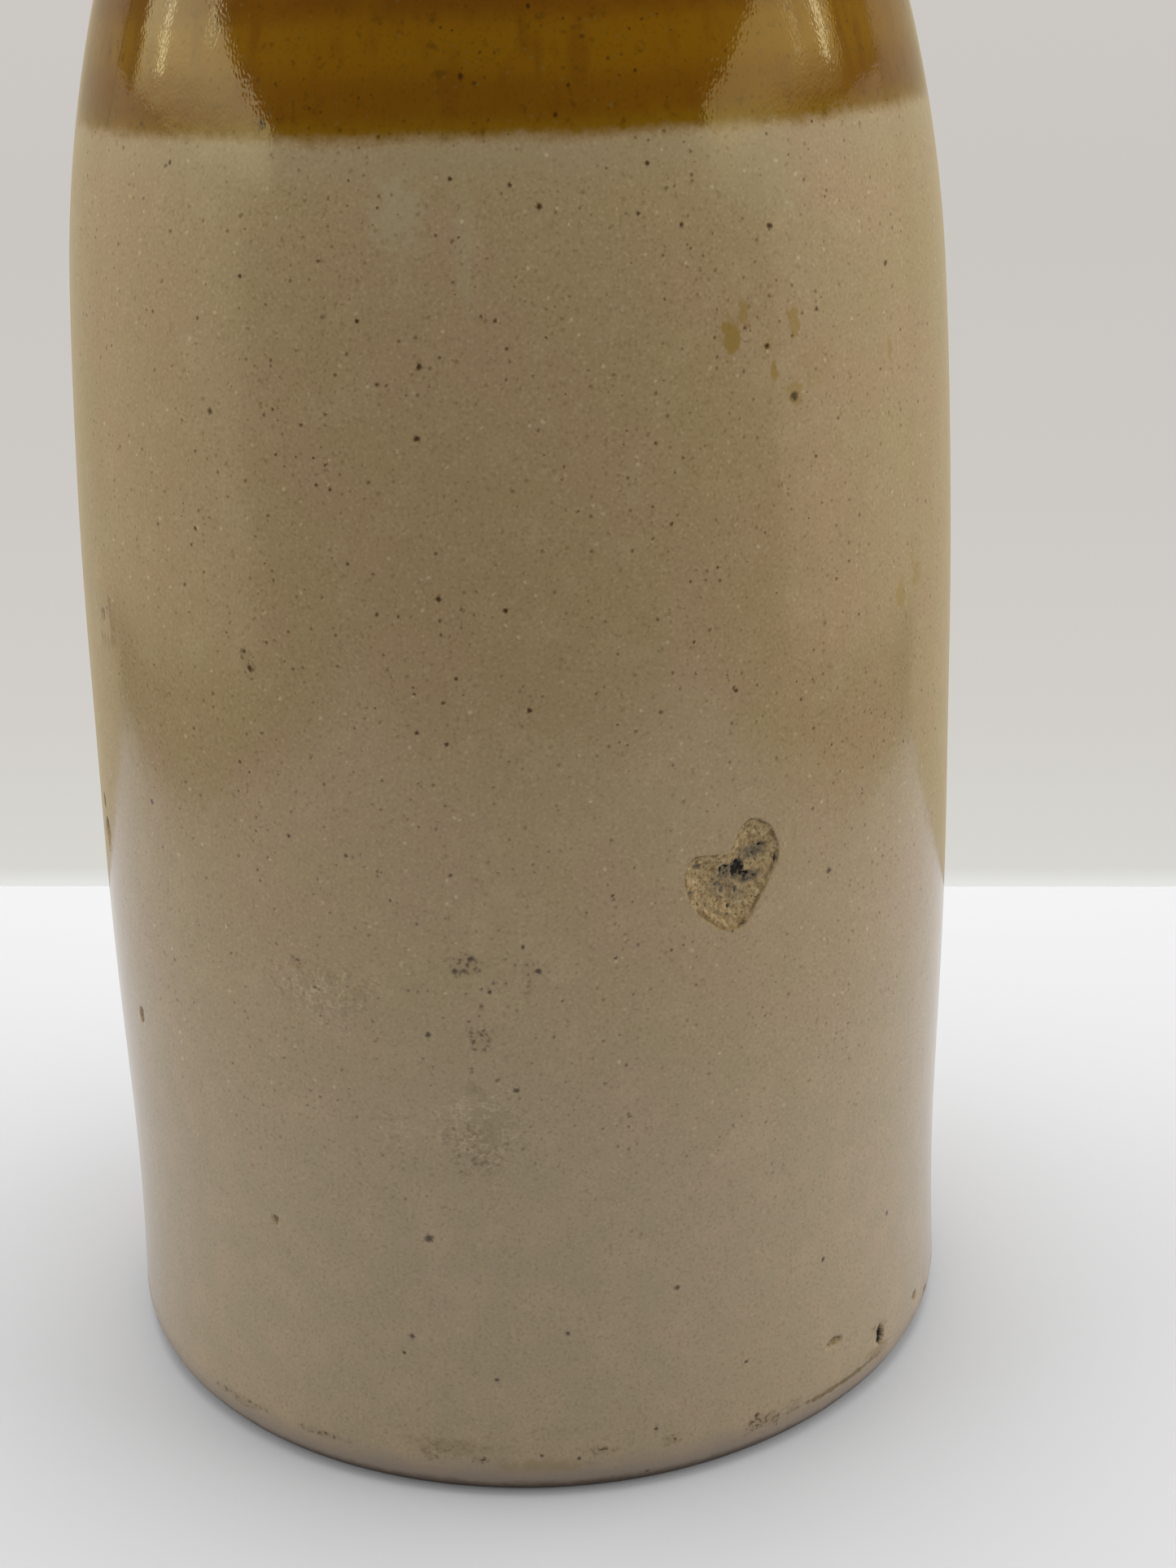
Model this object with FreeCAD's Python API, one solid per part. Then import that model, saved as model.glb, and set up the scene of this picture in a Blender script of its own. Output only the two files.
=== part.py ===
import FreeCAD, Part
import math
import os

# Stoneware stout bottle, thrown, glazed and fired as one piece. All sizes are
# in millimetres. The axis is +Z, and the origin is on the axis at the level of
# the surface that the bottle stands on. Angles round the axis start at -Y, the
# front, and grow towards +X. The big chip is on the front, to the right.

# Body
body_radius = 40.1
wall_thickness = 6.5
base_thickness = 9.0
straight_top = 67.0
floor_corner = 6.0

# Foot: the wall spreads a little as it comes down, and its edge is rounded
foot_spread = 0.55
foot_spread_height = 24.0
foot_round_height = 3.0
foot_round_inset = 1.35
foot_ring_width = 7.0
underside_hollow = 1.2
underside_slope = 5.0

# Shoulder: three turns, each tighter than the last, then a hollow sweep into the neck
gentle_turn_radius = 470.0
gentle_turn_degrees = 4.4
quick_turn_radius = 116.0
quick_turn_degrees = 14.0
tight_turn_radius = 112.0
neck_sweep_radius = 40.0

# Neck and ring lip
neck_radius = 15.6
neck_length = 14.0
bore_radius = 9.5
lip_overhang = 3.4
lip_height = 18.0
lip_top_round = 6.0
lip_under_bevel = 1.8
mouth_bevel = 1.5

# Chip knocked out of the front. Its edge is a leaning heart: each point is
# (along the wall, up the wall) from the chip's middle.
chip_degrees = 24.5
chip_height = 58.3
chip_depth = 1.1
chip_edge = [
    (1.7, 4.5), (3.8, 3.3), (4.65, 1.0), (3.6, -1.1), (2.6, -2.8), (1.0, -4.8), (-1.5, -4.6),
    (-3.3, -2.9), (-4.5, -0.2), (-3.7, 2.1), (-1.7, 2.0), (-0.2, 2.2), (0.5, 3.6),
]
chip_mouth_share = 1.2
chip_floor_share = 0.62
chip_hole_place = (0.5, 0.5)
chip_hole_radius = 0.9
chip_hole_depth = 0.8

# Pits knocked out of the wall: (degrees round the axis, height, width, height of the pit, depth)
wall_pits = [
    (-71.3, 54.6, 1.7, 2.8, 0.6),
    (-72.4, 57.1, 0.9, 1.3, 0.4),
    (-62.2, 38.4, 0.9, 1.7, 0.4),
    (41.5, 8.0, 2.0, 0.9, 0.4),
    (52.3, 4.9, 0.9, 1.5, 0.5),
]
pit_sides = 7


def on_profile(radius, height):
    """A point of the profile, which is drawn in the XZ plane."""
    return FreeCAD.Vector(radius, 0, height)


def leaning(degrees):
    """A unit step on the profile. It points outwards at 0 and up at 90."""
    return on_profile(math.cos(math.radians(degrees)), math.sin(math.radians(degrees)))


def line(start, end):
    return Part.LineSegment(start, end).toShape()


def arc(centre, radius, start_degrees, end_degrees):
    """An arc of the profile, drawn from one angle to the other."""
    middle_degrees = (start_degrees + end_degrees) / 2
    points = [centre + leaning(degrees) * radius for degrees in (start_degrees, middle_degrees, end_degrees)]
    return Part.Arc(*points).toShape()


def chain(corners):
    """Straight lines from each corner to the next."""
    return [line(start, end) for start, end in zip(corners, corners[1:])]


def shoulder():
    """The arcs from the straight wall up to the neck, and the inside's corners behind them.

    How far the tight turn leans is worked out, so that the sweep ends on the neck.
    """
    quick_end = gentle_turn_degrees + quick_turn_degrees
    gentle_cos = math.cos(math.radians(gentle_turn_degrees))
    quick_cos = math.cos(math.radians(quick_end))
    first_narrowing = gentle_turn_radius * (1 - gentle_cos) + quick_turn_radius * (gentle_cos - quick_cos)
    last_narrowing = body_radius - neck_radius - first_narrowing
    last_radii = tight_turn_radius + neck_sweep_radius
    slope_cos = (tight_turn_radius * quick_cos + neck_sweep_radius - last_narrowing) / last_radii
    slope = math.degrees(math.acos(slope_cos))

    turns = [
        (gentle_turn_radius, 0, gentle_turn_degrees),
        (quick_turn_radius, gentle_turn_degrees, quick_end),
        (tight_turn_radius, quick_end, slope),
    ]
    joint = on_profile(body_radius, straight_top)
    inside_corners = [joint - leaning(0) * wall_thickness]
    arcs = []
    for radius, start_lean, end_lean in turns:
        centre = joint - leaning(start_lean) * radius
        arcs.append(arc(centre, radius, start_lean, end_lean))
        joint = centre + leaning(end_lean) * radius
        inside_corners.append(joint - leaning(end_lean) * wall_thickness)
    sweep_centre = joint + leaning(slope) * neck_sweep_radius
    arcs.append(arc(sweep_centre, neck_sweep_radius, 180 + slope, 180))
    neck_bottom = sweep_centre.z
    inside_corners.append(on_profile(bore_radius, neck_bottom))
    return arcs, inside_corners, neck_bottom


def foot():
    """The underside, the foot ring and the rounded, slightly spread edge above it."""
    spread_radius = body_radius + foot_spread
    ring_outer = spread_radius - foot_round_inset
    ring_inner = ring_outer - foot_ring_width
    underside = chain([
        on_profile(0, underside_hollow),
        on_profile(ring_inner - underside_slope, underside_hollow),
        on_profile(ring_inner, 0),
        on_profile(ring_outer, 0),
    ])

    edge_radius = (foot_round_height ** 2 + foot_round_inset ** 2) / (2 * foot_round_inset)
    edge_degrees = math.degrees(math.asin(foot_round_height / edge_radius))
    edge = arc(on_profile(spread_radius - edge_radius, foot_round_height), edge_radius, -edge_degrees, 0)

    spread_rise = foot_spread_height - foot_round_height
    spread_arc_radius = (spread_rise ** 2 + foot_spread ** 2) / (2 * foot_spread)
    spread_degrees = math.degrees(math.asin(spread_rise / spread_arc_radius))
    spread_centre = on_profile(body_radius + spread_arc_radius, foot_spread_height)
    spread = arc(spread_centre, spread_arc_radius, 180 + spread_degrees, 180)
    return underside + [edge, spread]


def ring_lip(lip_bottom):
    """The ring round the mouth: out from the neck, up, and over to the bore's bevel."""
    lip_radius = neck_radius + lip_overhang
    lip_top = lip_bottom + lip_height
    under_bevel = min(lip_under_bevel, 0.7 * lip_overhang)
    top_round = min(lip_top_round, 0.8 * (lip_radius - bore_radius - mouth_bevel))
    side = chain([
        on_profile(neck_radius, lip_bottom),
        on_profile(lip_radius - under_bevel, lip_bottom),
        on_profile(lip_radius, lip_bottom + under_bevel),
        on_profile(lip_radius, lip_top - top_round),
    ])
    shoulder_of_lip = arc(on_profile(lip_radius - top_round, lip_top - top_round), top_round, 0, 90)
    flat = line(on_profile(lip_radius - top_round, lip_top), on_profile(bore_radius + mouth_bevel, lip_top))
    return side + [shoulder_of_lip, flat]


def thrown_body():
    """The bottle before it was chipped: one profile turned round the axis."""
    shoulder_arcs, inside_corners, neck_bottom = shoulder()
    lip_bottom = neck_bottom + neck_length
    lip_top = lip_bottom + lip_height
    inner_radius = body_radius - wall_thickness

    outside = foot()
    outside.append(line(on_profile(body_radius, foot_spread_height), on_profile(body_radius, straight_top)))
    outside += shoulder_arcs
    outside.append(line(on_profile(neck_radius, neck_bottom), on_profile(neck_radius, lip_bottom)))
    outside += ring_lip(lip_bottom)

    inside = chain([
        on_profile(bore_radius + mouth_bevel, lip_top),
        on_profile(bore_radius, lip_top - mouth_bevel),
        *reversed(inside_corners),
        on_profile(inner_radius, base_thickness + floor_corner),
        on_profile(inner_radius - floor_corner, base_thickness),
        on_profile(0, base_thickness),
        on_profile(0, underside_hollow),
    ])
    profile = Part.Wire(outside + inside)
    turned = Part.Face(profile).revolve(FreeCAD.Vector(0, 0, 0), FreeCAD.Vector(0, 0, 1), 360)
    print("bore wall from", round(neck_bottom, 2), "to", round(lip_top - mouth_bevel, 2))
    print("height", round(lip_top, 2), "volume in cubic centimetres", round(turned.Volume / 1000, 1))
    return turned


def on_wall(degrees, distance, along, height):
    """A point at a distance from the axis, moved along the wall from an angle."""
    angle = math.radians(degrees)
    outwards = FreeCAD.Vector(math.sin(angle), -math.cos(angle), 0)
    sideways = FreeCAD.Vector(math.cos(angle), math.sin(angle), 0)
    return outwards * distance + sideways * along + FreeCAD.Vector(0, 0, height)


def chip_wire(distance, share):
    """The chip's edge at a share of its size, at a distance from the axis."""
    points = [on_wall(chip_degrees, distance, share * along, chip_height + share * up) for along, up in chip_edge]
    curve = Part.BSplineCurve()
    curve.interpolate(points, PeriodicFlag=True)
    return Part.Wire([curve.toShape()])


def chip_cutter():
    """What the chip took away: sloping sides, a flat floor and a deeper hole."""
    mouth = chip_wire(body_radius + chip_depth, chip_mouth_share)
    floor = chip_wire(body_radius - chip_depth, chip_floor_share)
    hole_along, hole_up = chip_hole_place
    hole_start = on_wall(chip_degrees, body_radius, hole_along, chip_height + hole_up)
    inwards = on_wall(chip_degrees, -1, 0, 0)
    hole_reach = chip_depth + chip_hole_depth
    hole = Part.makeCone(2 * chip_hole_radius, chip_hole_radius, hole_reach, hole_start, inwards)
    return Part.makeLoft([mouth, floor], True).fuse(hole)


def wall_radius(height):
    """The outer radius at a height on the straight wall or on the foot's spread."""
    rise = max(0.0, foot_spread_height - height) / (foot_spread_height - foot_round_height)
    return body_radius + foot_spread * rise ** 2


def pit_cutter(degrees, height, width, tall, depth):
    """A many-sided point that leaves a pit with small flat facets, as a knock does."""
    surface = wall_radius(height)
    rings = []
    for distance, share in ((surface + depth, 2.0), (surface - depth, 0.1)):
        corners = []
        for side in range(pit_sides + 1):
            turn = 2 * math.pi * side / pit_sides
            along = share * width / 2 * math.cos(turn)
            up = share * tall / 2 * math.sin(turn)
            corners.append(on_wall(degrees, distance, along, height + up))
        rings.append(Part.makePolygon(corners))
    return Part.makeLoft(rings, True)


bottle = thrown_body().cut([chip_cutter()] + [pit_cutter(*pit) for pit in wall_pits])
bottle = bottle.Solids[0]
print("valid", bottle.isValid(), "faces", len(bottle.Faces))

os.makedirs("parts", exist_ok=True)
bottle.exportStep("parts/bottle.step")
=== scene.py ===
import math

import bmesh
import bpy
from mathutils import Matrix, Vector, geometry, noise


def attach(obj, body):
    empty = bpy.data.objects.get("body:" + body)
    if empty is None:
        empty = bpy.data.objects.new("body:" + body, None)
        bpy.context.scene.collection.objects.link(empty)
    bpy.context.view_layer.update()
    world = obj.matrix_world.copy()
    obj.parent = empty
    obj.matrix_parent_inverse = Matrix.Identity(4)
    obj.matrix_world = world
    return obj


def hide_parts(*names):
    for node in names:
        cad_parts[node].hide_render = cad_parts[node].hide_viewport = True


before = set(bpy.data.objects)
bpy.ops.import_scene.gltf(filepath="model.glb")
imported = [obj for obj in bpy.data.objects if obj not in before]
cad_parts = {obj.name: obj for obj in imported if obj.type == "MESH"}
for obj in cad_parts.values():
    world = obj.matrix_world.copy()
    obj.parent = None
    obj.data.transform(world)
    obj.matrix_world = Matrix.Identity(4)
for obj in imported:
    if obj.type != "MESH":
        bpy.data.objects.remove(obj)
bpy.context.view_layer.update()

# Camera. It stands close in front of the bottle and looks down on it, so that the body fills the
# picture, the foot shows and the shoulder runs out of the top. Sizes are in millimetres throughout.
MM = 0.001
lens_length = 54.07
camera_place = Vector((0.0, -214.31, 134.79))
camera_look_down = 0.3667
camera_turn_right = 0.0281
camera_roll = -0.0219

camera = bpy.data.objects.new("camera", bpy.data.cameras.new("camera"))
bpy.context.scene.collection.objects.link(camera)
camera.data.lens = lens_length
camera.matrix_world = (
    Matrix.Translation(camera_place * MM)
    @ Matrix.Rotation(-camera_turn_right, 4, "Z")
    @ Matrix.Rotation(math.pi / 2 - camera_look_down, 4, "X")
    @ Matrix.Rotation(camera_roll, 4, "Z")
)
bpy.context.scene.camera = camera
bpy.context.scene.view_settings.view_transform = "Standard"


# White sheet that the bottle stands on, and the pale wall close behind it. The sheet ends about 20 cm to each
# side, so its edges show in the glaze. A wider floor beyond it stays out of reflections. Both are open under
# the bottle, so that its underside is lit when it is looked at from below.
sheet_left = -199.0
sheet_right = 196.0
sheet_front = -240.0
wall_back = 96.3
wall_turn = -0.084
floor_reach = 3000.0
floor_gap = 0.3
foot_hole_radius = 39.2
hole_steps = 96
floor_colour = "a6a6a7"
wall_foot_lit_colour = "e6e6e4"
wall_lit_colours = [(3.0, "d7d6d1"), (25.0, "d2cfca"), (60.0, "cdc9c5"), (95.0, "cac6c1"), (130.0, "cdc8c4")]
wall_shade_height = 130.0


def paint(hex_colour):
    """An sRGB hex colour as the linear colour that nodes use."""
    shares = [int(hex_colour[at:at + 2], 16) / 255 for at in (0, 2, 4)]
    return [c / 12.92 if c <= 0.04045 else ((c + 0.055) / 1.055) ** 2.4 for c in shares] + [1.0]


def add_node(tree, kind, feeds=None, **settings):
    """Adds a node with its settings. Inputs take values, hex colours, outputs or whole nodes."""
    added = tree.nodes.new(kind)
    for name, value in settings.items():
        setattr(added, name, value)
    for name, value in (feeds or {}).items():
        if isinstance(value, bpy.types.Node):
            value = next(output for output in value.outputs if output.enabled)
        if isinstance(value, bpy.types.NodeSocket):
            tree.links.new(value, added.inputs[name])
        else:
            added.inputs[name].default_value = paint(value) if isinstance(value, str) else value
    return added


def new_material(name):
    """An empty material, its node tree and its output node."""
    material = bpy.data.materials.new(name)
    material.use_nodes = True
    material.node_tree.nodes.clear()
    return material, material.node_tree, add_node(material.node_tree, "ShaderNodeOutputMaterial")


def flat_piece(name, corners, material, hole_radius=0.0):
    """A flat piece with its corners in millimetres, and a round hole at the origin if asked."""
    shape = bmesh.new()
    sheet = shape.faces.new([shape.verts.new(Vector(corner) * MM) for corner in corners])
    if hole_radius:
        bmesh.ops.delete(shape, geom=[sheet], context="FACES_ONLY")
        centre = Matrix.Translation(Vector((0, 0, corners[0][2])) * MM)
        bmesh.ops.create_circle(shape, segments=hole_steps, radius=hole_radius * MM, matrix=centre)
        bmesh.ops.triangle_fill(shape, edges=shape.edges[:], normal=(0, 0, 1))
    mesh = bpy.data.meshes.new(name)
    shape.to_mesh(mesh)
    shape.free()
    mesh.materials.append(material)
    piece = bpy.data.objects.new(name, mesh)
    bpy.context.scene.collection.objects.link(piece)
    return piece


def one_sided(tree, output, surface):
    """Shows a surface on its front only, so that nothing hides the bottle from behind or below."""
    is_back = add_node(tree, "ShaderNodeNewGeometry").outputs["Backfacing"]
    clear = add_node(tree, "ShaderNodeBsdfTransparent")
    mixed = add_node(tree, "ShaderNodeMixShader", {0: is_back, 1: surface, 2: clear})
    tree.links.new(mixed.outputs["Shader"], output.inputs["Surface"])


def height_of_point(tree):
    """Each point's height in metres."""
    point = add_node(tree, "ShaderNodeTexCoord").outputs["Object"]
    return add_node(tree, "ShaderNodeSeparateXYZ", {0: point}).outputs["Z"]


paper, tree, output = new_material("white_paper")
one_sided(tree, output, add_node(tree, "ShaderNodeBsdfDiffuse", {"Color": floor_colour}))

# The wall glows in colours painted as the light that falls on it: brightest at its foot, painted darker with
# height up to about 95 mm, and a little lighter above.
wall_finish, tree, output = new_material("pale_wall")
up_the_wall = add_node(tree, "ShaderNodeMapRange", {
    "Value": height_of_point(tree), "From Max": wall_shade_height * MM,
})
wall_shades = add_node(tree, "ShaderNodeValToRGB", {0: up_the_wall})
wall_shades.color_ramp.elements.remove(wall_shades.color_ramp.elements[1])
wall_shades.color_ramp.elements[0].color = paint(wall_foot_lit_colour)
for height, colour in wall_lit_colours:
    wall_shades.color_ramp.elements.new(height / wall_shade_height).color = paint(colour)
one_sided(tree, output, add_node(tree, "ShaderNodeEmission", {"Color": wall_shades}))

flat_piece("white_sheet", [
    (sheet_left, sheet_front, 0),
    (sheet_right, sheet_front, 0),
    (sheet_right, wall_back + wall_turn * sheet_right, 0),
    (sheet_left, wall_back + wall_turn * sheet_left, 0),
], paper, foot_hole_radius)
wide_floor = flat_piece("wide_floor", [
    (-floor_reach, -floor_reach, -floor_gap),
    (floor_reach, -floor_reach, -floor_gap),
    (floor_reach, floor_reach, -floor_gap),
    (-floor_reach, floor_reach, -floor_gap),
], paper, foot_hole_radius)
wide_floor.visible_glossy = False
wall_ends = [(end, wall_back + wall_turn * end) for end in (-floor_reach, floor_reach)]
wall = flat_piece("wall", [
    (*wall_ends[0], -floor_gap),
    (*wall_ends[1], -floor_gap),
    (*wall_ends[1], floor_reach),
    (*wall_ends[0], floor_reach),
], wall_finish)
wall_finish.cycles.emission_sampling = "NONE"
wall.visible_diffuse = False
wall.visible_glossy = False
wall.visible_shadow = False


# Light. A soft panel glows level with the neck on each side and shows as a warm patch in the glaze, with
# narrow bright tubes in it. The sides and the back glow faintly, and wide soft lamps stand above and round.
warm = "fff2bc"
warmer = "ffeca4"
pale_warm = "fff0cc"
white = "ffffff"
panel_glow = 2.7
tube_glow = 7.0
side_glow = 0.5
back_glow = 0.57
top_glow = 5.0
front_fill_glow = 0.7
left_fill_glow = 2.3
left_back_fill_glow = 0.8
right_fill_glow = 3.6
back_fill_glow = 1.5


def add_lamp(name, centre, target, width, height, glow):
    """A soft lamp that faces a target and stays out of the glaze. A glow of 1 is as bright as white."""
    data = bpy.data.lights.new(name, "AREA")
    data.shape = "RECTANGLE"
    data.size = width * MM
    data.size_y = height * MM
    data.energy = glow * math.pi * data.size * data.size_y
    lamp = bpy.data.objects.new(name, data)
    bpy.context.scene.collection.objects.link(lamp)
    aim = (Vector(target) - Vector(centre)).to_track_quat("-Z", "Y")
    lamp.matrix_world = Matrix.Translation(Vector(centre) * MM) @ aim.to_matrix().to_4x4()
    lamp.visible_camera = False
    lamp.visible_glossy = False


def add_glow(name, corners, colour, glow, dark_at=0.0, full_at=1.0):
    """A flat glowing shape that only shows in the glaze, dark at one height and full at another."""
    finish, tree, output = new_material(name)
    brightness = add_node(tree, "ShaderNodeMapRange", {
        "Value": height_of_point(tree), "From Min": dark_at * MM, "From Max": full_at * MM, "To Max": glow,
    })
    shine = add_node(tree, "ShaderNodeEmission", {"Color": colour, "Strength": brightness})
    tree.links.new(shine.outputs["Emission"], output.inputs["Surface"])
    finish.cycles.emission_sampling = "NONE"
    shape = flat_piece(name, corners, finish)
    shape.visible_camera = False
    shape.visible_diffuse = False
    shape.visible_shadow = False


def on_side(side, *edges):
    """Corners on an upright plane to one side, from pairs (back, up)."""
    return [(side, back, up) for back, up in edges]


def upright(side, front, back, low, high):
    """The corners of an upright rectangle to one side."""
    return on_side(side, (front, low), (back, low), (back, high), (front, high))


left_panel = on_side(
    sheet_left + 1, (-122, 146), (-122, 169), (-80, 178), (-60, 184), (-33, 193), (52, 222), (58, 146),
)
right_panel = on_side(
    sheet_right - 1, (-166, 146), (-167, 186), (-117, 191), (-78, 200), (-40, 212), (14, 228), (14, 146),
)
behind = [(sheet_right, 82, 0), (sheet_left, 108, 0), (sheet_left, 108, 400), (sheet_right, 82, 400)]
add_glow("left_panel", left_panel, warm, panel_glow, dark_at=128, full_at=168)
add_glow("right_panel", right_panel, warmer, panel_glow * 0.75, dark_at=145, full_at=168)
add_glow("left_side", upright(sheet_left, -97, 107, 26, 146), pale_warm, side_glow * 1.4)
add_glow("right_side", upright(sheet_right, -97, 79, 26, 146), pale_warm, side_glow * 1.5)
add_glow("left_side_top", upright(sheet_left - 1, -60, 107, 146, 300), warmer, side_glow * 0.6)
add_glow("right_side_top", upright(sheet_right + 1, -60, 79, 146, 300), warmer, side_glow * 0.6)
add_glow("left_tube", upright(sheet_left + 2, 18, 24, 156, 230), warm, tube_glow)
add_glow("left_thin_tube", upright(sheet_left + 2, -39, -36, 178, 200), warm, tube_glow)
add_glow("right_tube", upright(sheet_right - 2, -6, 1, 160, 230), warm, tube_glow)
add_glow("right_thin_tube", upright(sheet_right - 2, -37, -34, 168, 222), warm, tube_glow * 0.6)
add_glow("behind", behind, pale_warm, back_glow)
add_lamp("top", (0, 40, 460), (0, 40, 0), 340, 300, top_glow)
add_lamp("front_fill", (0, -1200, 220), (0, 0, 80), 1600, 400, front_fill_glow)
add_lamp("left_fill", (-1050, 0, 500), (0, 0, 80), 1250, 1000, left_fill_glow)
add_lamp("left_back_fill", (-1050, 600, 450), (0, 0, 80), 900, 900, left_back_fill_glow)
add_lamp("right_fill", (1050, 0, 500), (0, 0, 80), 1250, 1000, right_fill_glow)
add_lamp("back_fill", (0, 1200, 400), (0, 0, 80), 1600, 1000, back_fill_glow)


# Room. Even light from all round fills the shadows, and is brighter from behind, so that the bottle's shade
# falls in front of it. The glaze mirrors a dim warm room instead, and past the wall the backdrop is plain.
room_colour = "fff0d2"
room_glow = 0.1
fill_back_glow = 1.6
fill_front_glow = 0.6

world = bpy.data.worlds.new("room")
bpy.context.scene.world = world
world.use_nodes = True
tree = world.node_tree
tree.nodes.clear()
ray = add_node(tree, "ShaderNodeLightPath").outputs
direction = add_node(tree, "ShaderNodeNewGeometry").outputs["Incoming"]
towards_front = add_node(tree, "ShaderNodeSeparateXYZ", {0: direction}).outputs["Y"]
fill_glow = add_node(tree, "ShaderNodeMapRange", {
    "Value": towards_front, "From Min": -1.0, "To Min": fill_back_glow, "To Max": fill_front_glow,
})
room = add_node(tree, "ShaderNodeBackground", {"Color": room_colour, "Strength": room_glow})
fill = add_node(tree, "ShaderNodeBackground", {"Color": white, "Strength": fill_glow})
backdrop = add_node(tree, "ShaderNodeBackground", {"Color": wall_lit_colours[-1][1], "Strength": 1.0})
lighting = add_node(tree, "ShaderNodeMixShader", {0: ray["Is Diffuse Ray"], 1: room, 2: fill})
seen = add_node(tree, "ShaderNodeMixShader", {0: ray["Is Camera Ray"], 1: lighting, 2: backdrop})
add_node(tree, "ShaderNodeOutputWorld", {"Surface": seen})


# Bottle. One piece of stoneware, thrown on the wheel and turned true: a slightly spread, rounded foot, a
# straight wall, a shoulder in three turns, a short neck and a ring lip round the bore for the cork.
body_radius = 40.1
wall_thickness = 6.5
base_thickness = 9.0
straight_top = 67.0
floor_corner = 6.0
foot_spread = 0.55
foot_spread_height = 24.0
foot_round_height = 3.0
foot_round_inset = 1.35
foot_ring_width = 7.0
underside_hollow = 1.2
underside_slope = 5.0
shoulder_turns = [(470.0, 0.0, 4.4, 24), (116.0, 4.4, 18.4, 20)]
tight_turn_radius = 112.0
tight_turn_rows = 18
neck_sweep_radius = 40.0
neck_radius = 15.6
neck_length = 14.0
bore_radius = 9.5
lip_overhang = 3.4
lip_height = 18.0
lip_top_round = 6.0
lip_under_round = 1.8
mouth_round = 1.5
wall_rows = 43
steps_round = 288
merge_distance = 1e-4


def leaning(degrees):
    """A unit step on the outline. It points outwards at 0 degrees and up at 90."""
    return Vector((math.cos(math.radians(degrees)), 0, math.sin(math.radians(degrees))))


def run_to(outline, end, radius, height, rows=1):
    """Carries the outline straight on to a radius and a height, in equal rows."""
    step = (Vector((radius, 0, height)) - end.co) / rows
    for row in range(rows):
        end = bmesh.ops.extrude_vert_indiv(outline, verts=[end])["verts"][0]
        bmesh.ops.translate(outline, verts=[end], vec=step)
    return end


def turn_about(outline, end, centre, degrees, rows):
    """Carries the outline round a centre. Positive degrees turn from outwards to up."""
    turned = bmesh.ops.spin(
        outline, geom=[end], cent=centre, axis=(0, -1, 0), angle=math.radians(degrees), steps=rows,
    )
    return [part for part in turned["geom_last"] if isinstance(part, bmesh.types.BMVert)][0]


outline = bmesh.new()
spread_radius = body_radius + foot_spread
ring_outer = spread_radius - foot_round_inset
ring_inner = ring_outer - foot_ring_width
edge_radius = (foot_round_height ** 2 + foot_round_inset ** 2) / (2 * foot_round_inset)
edge_degrees = math.degrees(math.asin(foot_round_height / edge_radius))
spread_rise = foot_spread_height - foot_round_height
spread_arc_radius = (spread_rise ** 2 + foot_spread ** 2) / (2 * foot_spread)
spread_degrees = math.degrees(math.asin(spread_rise / spread_arc_radius))

end = outline.verts.new((0, 0, underside_hollow))
end = run_to(outline, end, ring_inner - underside_slope, underside_hollow, rows=8)
end = run_to(outline, end, ring_inner, 0, rows=4)
end = run_to(outline, end, ring_outer, 0, rows=5)
end = turn_about(outline, end, (spread_radius - edge_radius, 0, foot_round_height), edge_degrees, 6)
end = turn_about(outline, end, (body_radius + spread_arc_radius, 0, foot_spread_height), -spread_degrees, 21)
end = run_to(outline, end, body_radius, straight_top, rows=wall_rows)

quick_end = shoulder_turns[-1][2]
narrowing = sum(
    radius * (math.cos(math.radians(start)) - math.cos(math.radians(stop)))
    for radius, start, stop, rows in shoulder_turns
)
last_narrowing = body_radius - neck_radius - narrowing
slope_reach = tight_turn_radius * math.cos(math.radians(quick_end)) + neck_sweep_radius - last_narrowing
slope = math.degrees(math.acos(slope_reach / (tight_turn_radius + neck_sweep_radius)))
turns = shoulder_turns + [(tight_turn_radius, quick_end, slope, tight_turn_rows)]
inside_turns = []
for radius, start, stop, rows in turns:
    centre = end.co - leaning(start) * radius
    inside_turns.append((centre, start - stop))
    end = turn_about(outline, end, centre, stop - start, rows)
sweep_centre = end.co + leaning(slope) * neck_sweep_radius
end = turn_about(outline, end, sweep_centre, -slope, 20)
neck_bottom = end.co.z
lip_bottom = neck_bottom + neck_length
lip_top = lip_bottom + lip_height
lip_radius = neck_radius + lip_overhang
end = run_to(outline, end, neck_radius, lip_bottom, rows=8)
end = run_to(outline, end, lip_radius - lip_under_round, lip_bottom, rows=2)
end = turn_about(outline, end, (lip_radius - lip_under_round, 0, lip_bottom + lip_under_round), 90, 6)
end = run_to(outline, end, lip_radius, lip_top - lip_top_round, rows=6)
end = turn_about(outline, end, (lip_radius - lip_top_round, 0, lip_top - lip_top_round), 90, 10)
end = run_to(outline, end, bore_radius + mouth_round, lip_top, rows=2)
end = turn_about(outline, end, (bore_radius + mouth_round, 0, lip_top - mouth_round), 90, 6)

inner_radius = body_radius - wall_thickness
end = run_to(outline, end, bore_radius, neck_bottom, rows=3)
inside_joint = inside_turns[-1][0] + leaning(slope) * (tight_turn_radius - wall_thickness)
end = run_to(outline, end, inside_joint.x, inside_joint.z, rows=3)
for centre, degrees in reversed(inside_turns):
    end = turn_about(outline, end, centre, degrees, 4)
end = run_to(outline, end, inner_radius, base_thickness + floor_corner, rows=3)
end = turn_about(outline, end, (inner_radius - floor_corner, 0, base_thickness + floor_corner), -90, 5)
end = run_to(outline, end, 0, base_thickness, rows=3)

thrown = outline
bmesh.ops.remove_doubles(thrown, verts=thrown.verts[:], dist=merge_distance)
bmesh.ops.spin(
    thrown, geom=thrown.verts[:] + thrown.edges[:], cent=(0, 0, 0), axis=(0, 0, 1),
    angle=2 * math.pi, steps=steps_round, use_merge=True,
)
bmesh.ops.remove_doubles(thrown, verts=thrown.verts[:], dist=merge_distance)
bmesh.ops.recalc_face_normals(thrown, faces=thrown.faces[:])


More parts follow.
